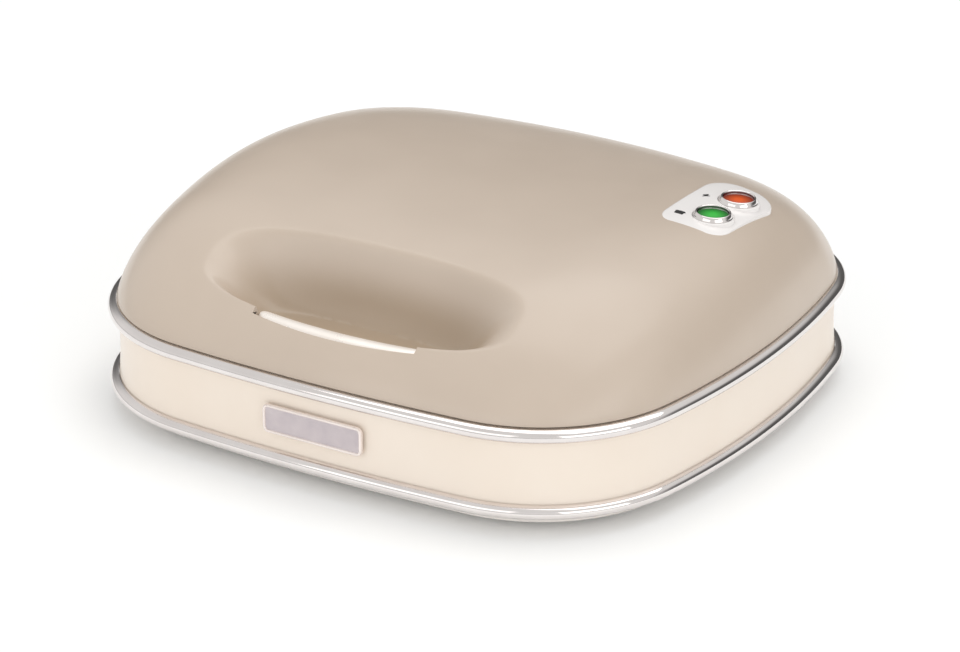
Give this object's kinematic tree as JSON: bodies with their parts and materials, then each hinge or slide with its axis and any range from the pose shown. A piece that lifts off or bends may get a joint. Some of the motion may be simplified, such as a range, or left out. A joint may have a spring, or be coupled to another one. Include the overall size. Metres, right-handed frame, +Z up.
{
  "type": "sandwich toaster",
  "caption": "Sandwich toaster with a domed, rear-hinged lid, sprung front latch, ridged non-stick plates and lamps on the lid.",
  "frame": {"origin": "on the worktop, below the middle of the whole object's outline, lid closed", "axes": "+Z up, -Y towards the latch at the front, +Y towards the hinges at the rear, +X to the right as seen from the front"},
  "size_m": [0.245, 0.231, 0.0795],
  "materials": {
    "taupe_shell": "high gloss",
    "cream_shell": "semi gloss",
    "chrome_trim": "polished",
    "steel": "plain",
    "nonstick": "satin non-stick coating",
    "dark_frame": "satin",
    "panel_white": "gloss",
    "red_lens": "clear tinted",
    "green_lens": "clear tinted",
    "lamp_glass": "clear",
    "insulator": "matt",
    "rubber": "matt",
    "lead_jacket": "matt"
  },
  "bodies": {
    "base": {"base_band": "cream_shell", "base_rear_panel": "cream_shell", "upper_trim_ring": "chrome_trim", "lower_trim_ring": "chrome_trim", "badge_plate": "chrome_trim", "base_pan": "cream_shell", "base_frame": "dark_frame", "lower_plate": "nonstick", "lower_element": "steel", "lower_heat_shield": "steel", "lower_plate_screws": "steel", "thermal_fuse": "insulator", "base_screws": "steel", "foot_front_left": "rubber", "foot_front_right": "rubber", "foot_rear_left": "rubber", "foot_rear_right": "rubber", "hinge_bracket_left": "dark_frame", "hinge_bracket_right": "dark_frame", "bracket_screws": "steel", "hinge_pin_left": "steel", "hinge_pin_right": "steel", "latch_keeper": "steel", "keeper_screws": "steel", "cord_gland": "rubber", "cord_clamp": "insulator", "clamp_screws": "steel", "terminal_block": "insulator", "base_wiring": "lead_jacket"},
    "lid": {"lid_cover": "taupe_shell", "lid_frame": "dark_frame", "upper_plate": "nonstick", "upper_element": "steel", "upper_heat_shield": "steel", "lamp_panel": "panel_white", "power_lamp_bezel": "chrome_trim", "ready_lamp_bezel": "chrome_trim", "power_lamp_lens": "red_lens", "ready_lamp_lens": "green_lens", "power_neon": "lamp_glass", "ready_neon": "lamp_glass", "lamp_holder": "insulator", "thermostat": "insulator", "upper_plate_screws": "steel", "lid_screws": "steel", "hinge_arm_left": "dark_frame", "hinge_arm_right": "dark_frame", "hinge_screws": "steel", "latch_pin": "steel", "latch_spring": "steel", "lid_wiring": "lead_jacket"},
    "latch": {"latch_lever": "chrome_trim"}
  },
  "joints": [
    {"name": "lid_hinge", "type": "hinge", "parent": "base", "child": "lid", "pos_m": [0, 0.11005, 0.031], "axis": [-1, 0, 0], "range_deg": [0, 95]},
    {"name": "latch_pivot", "type": "hinge", "parent": "lid", "child": "latch", "pos_m": [0, -0.10015, 0.0483], "axis": [-1, 0, 0], "range_deg": [0, 10], "stiffness_Nm_per_rad": 0.15, "springref_deg": -28.65, "deforming": ["latch_spring"]}
  ]
}
